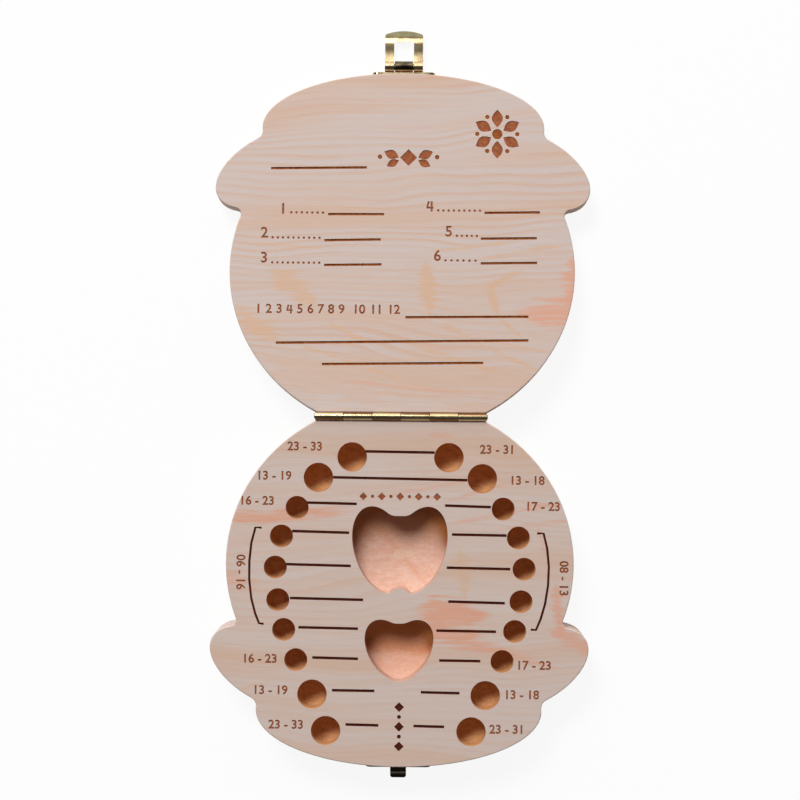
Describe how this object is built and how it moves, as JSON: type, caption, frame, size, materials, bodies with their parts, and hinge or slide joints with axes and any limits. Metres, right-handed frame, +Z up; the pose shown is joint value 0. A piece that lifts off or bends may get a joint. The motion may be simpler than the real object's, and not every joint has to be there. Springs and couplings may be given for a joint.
{
  "type": "baby tooth box",
  "caption": "Open wooden baby tooth box with round tooth holes, two shaped pockets, a thin hinged lid and a brass loop catch.",
  "frame": {"origin": "middle of the base's underside, on the surface that the box stands on", "axes": "+X along the hinge pin, +Y from the base towards the opened lid, +Z up"},
  "size_m": [0.1232, 0.2472, 0.0184],
  "materials": {
    "wood": "bare sanded",
    "brass": "plated, polished",
    "steel": "drawn wire"
  },
  "bodies": {
    "base": {"base_board": "wood", "base_hinge_leaf": "brass", "hinge_pin": "steel", "base_leaf_screw_1": "brass", "base_leaf_screw_2": "brass", "base_leaf_screw_3": "brass", "base_leaf_screw_4": "brass", "keeper_plate": "brass", "keeper_screw_1": "brass", "keeper_screw_2": "brass"},
    "lid": {"lid_board": "wood", "lid_hinge_leaf": "brass", "lid_leaf_screw_1": "brass", "lid_leaf_screw_2": "brass", "lid_leaf_screw_3": "brass", "lid_leaf_screw_4": "brass", "hasp_plate": "brass", "hasp_pin": "steel", "hasp_screw_1": "brass", "hasp_screw_2": "brass"},
    "hasp": {"hasp_flap": "brass"}
  },
  "joints": [
    {"name": "lid_hinge", "type": "hinge", "parent": "base", "child": "lid", "pos_m": [0, 0.05775, 0.0171], "axis": [1, 0, 0], "range_deg": [0, 185.55]},
    {"name": "hasp_pivot", "type": "hinge", "parent": "lid", "child": "hasp", "pos_m": [0, 0.17373, 0.00383], "axis": [1, 0, 0], "range_deg": [0, 85.69]}
  ]
}
